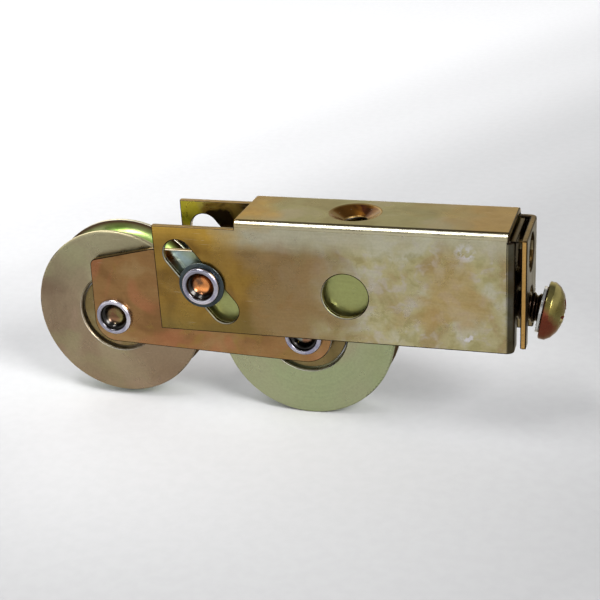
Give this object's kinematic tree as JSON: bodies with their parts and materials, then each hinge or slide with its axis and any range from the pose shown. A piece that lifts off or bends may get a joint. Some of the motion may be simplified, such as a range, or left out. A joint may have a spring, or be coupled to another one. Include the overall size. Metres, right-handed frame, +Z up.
{
  "type": "sliding door roller",
  "caption": "Height-adjustable tandem roller for a sliding door: a folded steel channel over a rocking bracket with grooved ball-bearing wheels, set by an end screw.",
  "frame": {"origin": "centre of the upper screw hole in the end tabs, on the outer tab's outer face", "axes": "+X along the housing towards the adjusting screw's head, +Y towards the wall that carries the outer tab, +Z up, from the wheels to the top plate"},
  "size_m": [0.1157, 0.021, 0.045],
  "materials": {
    "housing_chromate": "yellow chromate over zinc, satin, slightly iridescent",
    "bracket_chromate": "yellow chromate over zinc, orange-brown, satin",
    "wheel_chromate": "yellow chromate over zinc, olive to mauve, satin",
    "rivet_zinc": "bright clear zinc",
    "bearing_steel": "ground and polished",
    "shield_chromate": "yellow chromate over zinc",
    "screw_chromate": "yellow chromate over zinc, bright",
    "washer_zinc": "zinc"
  },
  "bodies": {
    "housing": {"housing_channel": "housing_chromate"},
    "head_washer": {"thrust_washer": "washer_zinc"},
    "screw": {"adjusting_screw": "screw_chromate"},
    "nut": {"adjusting_nut": "washer_zinc"},
    "guide": {"guide_rivet": "rivet_zinc", "guide_spacer": "washer_zinc", "guide_washer_front": "rivet_zinc", "guide_washer_rear": "rivet_zinc"},
    "carriage": {"carriage_bracket": "bracket_chromate", "left_axle_rivet": "rivet_zinc", "left_inner_race": "bearing_steel", "left_axle_washer_front": "washer_zinc", "left_axle_washer_rear": "washer_zinc", "right_axle_rivet": "rivet_zinc", "right_inner_race": "bearing_steel", "right_axle_washer_front": "washer_zinc", "right_axle_washer_rear": "washer_zinc"},
    "left_wheel": {"left_wheel_rim": "wheel_chromate", "left_outer_race": "bearing_steel", "left_shield_front": "shield_chromate", "left_shield_rear": "shield_chromate", "left_ball_1": "bearing_steel", "left_ball_2": "bearing_steel", "left_ball_3": "bearing_steel", "left_ball_4": "bearing_steel", "left_ball_5": "bearing_steel", "left_ball_6": "bearing_steel", "left_ball_7": "bearing_steel", "left_ball_8": "bearing_steel"},
    "right_wheel": {"right_wheel_rim": "wheel_chromate", "right_outer_race": "bearing_steel", "right_shield_front": "shield_chromate", "right_shield_rear": "shield_chromate", "right_ball_1": "bearing_steel", "right_ball_2": "bearing_steel", "right_ball_3": "bearing_steel", "right_ball_4": "bearing_steel", "right_ball_5": "bearing_steel", "right_ball_6": "bearing_steel", "right_ball_7": "bearing_steel", "right_ball_8": "bearing_steel"}
  },
  "joints": [
    {"name": "screw_rock", "type": "hinge", "parent": "housing", "child": "head_washer", "pos_m": [-0.0006, 0, -0.0118], "axis": [0, 1, 0], "range_deg": [-10.96, 8.62]},
    {"name": "screw_turn", "type": "hinge", "parent": "head_washer", "child": "screw", "pos_m": [-0.0006, 0, -0.0118], "axis": [-0.9839, 0, 0.1788], "range_deg": [-903, 1155]},
    {"name": "nut_travel", "type": "slide", "parent": "head_washer", "child": "nut", "axis": [0.9839, 0, -0.1788], "range_m": [-0.00323, 0.00411]},
    {"name": "height_adjust", "type": "slide", "parent": "housing", "child": "guide", "axis": [0.6216, 0, -0.7834], "range_m": [-0.00408, 0.00523]},
    {"name": "bracket_rock", "type": "hinge", "parent": "guide", "child": "carriage", "pos_m": [-0.0674, 0, -0.0079], "axis": [0, 1, 0], "range_deg": [-2.2, 0.8]},
    {"name": "left_wheel_spin", "type": "hinge", "parent": "carriage", "child": "left_wheel", "pos_m": [-0.0898, 0, -0.01799], "axis": [0, 1, 0], "continuous": true},
    {"name": "right_wheel_spin", "type": "hinge", "parent": "carriage", "child": "right_wheel", "pos_m": [-0.0466, 0, -0.01939], "axis": [0, 1, 0], "continuous": true}
  ],
  "couplings": [
    {"joint": "screw_turn", "follows": "height_adjust", "rad_per_m": 3846.2},
    {"joint": "screw_rock", "follows": "height_adjust", "rad_per_m": -35.577},
    {"joint": "nut_travel", "follows": "height_adjust", "ratio": 0.77741}
  ]
}
